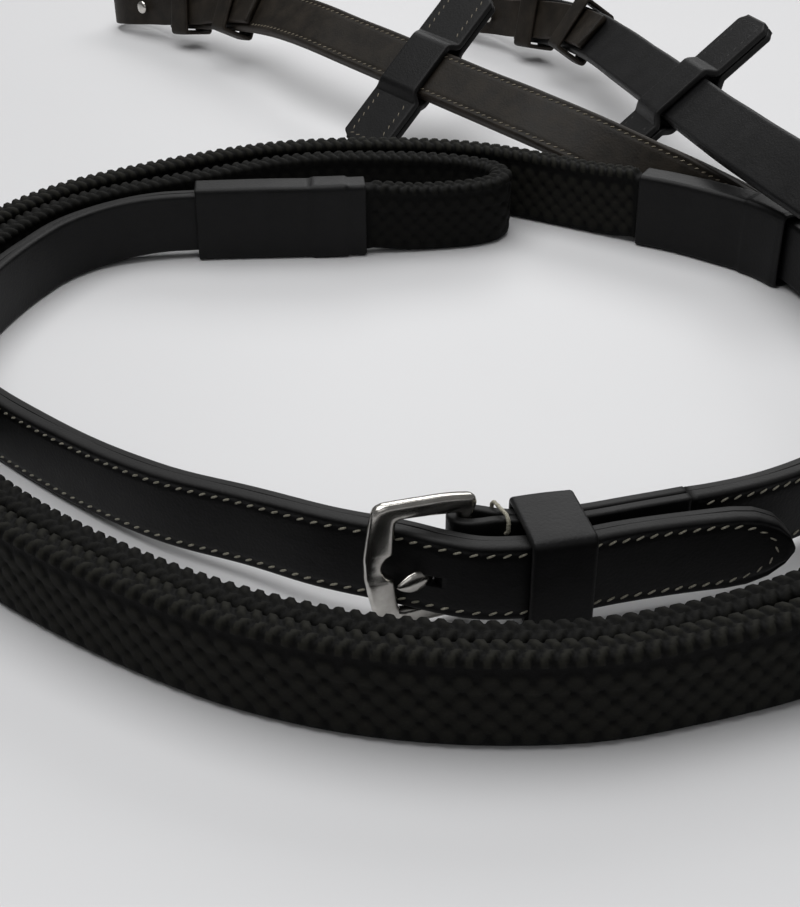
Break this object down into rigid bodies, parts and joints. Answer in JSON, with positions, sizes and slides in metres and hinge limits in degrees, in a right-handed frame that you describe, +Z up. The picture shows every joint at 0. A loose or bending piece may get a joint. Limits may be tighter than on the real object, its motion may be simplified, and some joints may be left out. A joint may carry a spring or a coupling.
{
  "type": "leather_reins_rubber_grip",
  "caption": "Leather riding reins with rubber-covered hand grips, centre buckle, leather rein stops and hook-stud billets, standing on edge in loose loops",
  "frame": {"origin": "On the table under the middle of the laid-out reins.", "axes": "+Z up from the table, +Y away from the centre buckle toward the billets, +X to the side that the free point of the strap is on."},
  "size_m": [0.3009, 0.4851, 0.0564],
  "materials": {
    "leather": "black waxed bridle leather",
    "cheek_leather": "brownish black bridle leather",
    "rubber": "pimpled black rubber",
    "steel": "polished stainless steel",
    "thread": "pale waxed thread"
  },
  "bodies": {
    "root": {"buckle_frame": "steel", "chape": "leather", "centre_keeper": "leather", "tack_thread": "thread", "point_half_centre_face": "leather", "point_half_centre_lining": "leather", "point_half_inner_wrap": "leather", "point_half_grip_core": "leather", "point_half_grip_rubber": "rubber", "point_half_outer_wrap": "leather", "point_half_cheek_face": "cheek_leather", "point_half_cheek_lining": "cheek_leather", "point_half_billet": "cheek_leather", "point_half_billet_keeper_near": "cheek_leather", "point_half_billet_keeper_far": "cheek_leather", "point_half_hook_stud": "steel", "buckle_half_centre_face": "leather", "buckle_half_centre_lining": "leather", "buckle_half_inner_wrap": "leather", "buckle_half_grip_core": "leather", "buckle_half_grip_rubber": "rubber", "buckle_half_outer_wrap": "leather", "buckle_half_cheek_face": "cheek_leather", "buckle_half_cheek_lining": "cheek_leather", "buckle_half_billet": "cheek_leather", "buckle_half_billet_keeper_near": "cheek_leather", "buckle_half_billet_keeper_far": "cheek_leather", "buckle_half_hook_stud": "steel"},
    "buckle_tongue": {"buckle_tongue": "steel"},
    "point_half_stop": {"point_half_stop_front": "leather", "point_half_stop_back": "leather"},
    "buckle_half_stop": {"buckle_half_stop_front": "leather", "buckle_half_stop_back": "leather"}
  },
  "joints": [
    {"name": "tongue_swing", "type": "hinge", "parent": "root", "child": "buckle_tongue", "pos_m": [0.0037, -0.197, 0.0158], "axis": [-0.0295, 0.0632, 0.9976], "range_deg": [0, 5]},
    {"name": "point_stop_slide", "type": "slide", "parent": "root", "child": "point_half_stop", "axis": [-0.6733, 0.7375, 0.0527], "range_m": [-0.018, 0.018]},
    {"name": "buckle_stop_slide", "type": "slide", "parent": "root", "child": "buckle_half_stop", "axis": [-0.1825, 0.9795, -0.0857], "range_m": [-0.006, 0.03]}
  ]
}
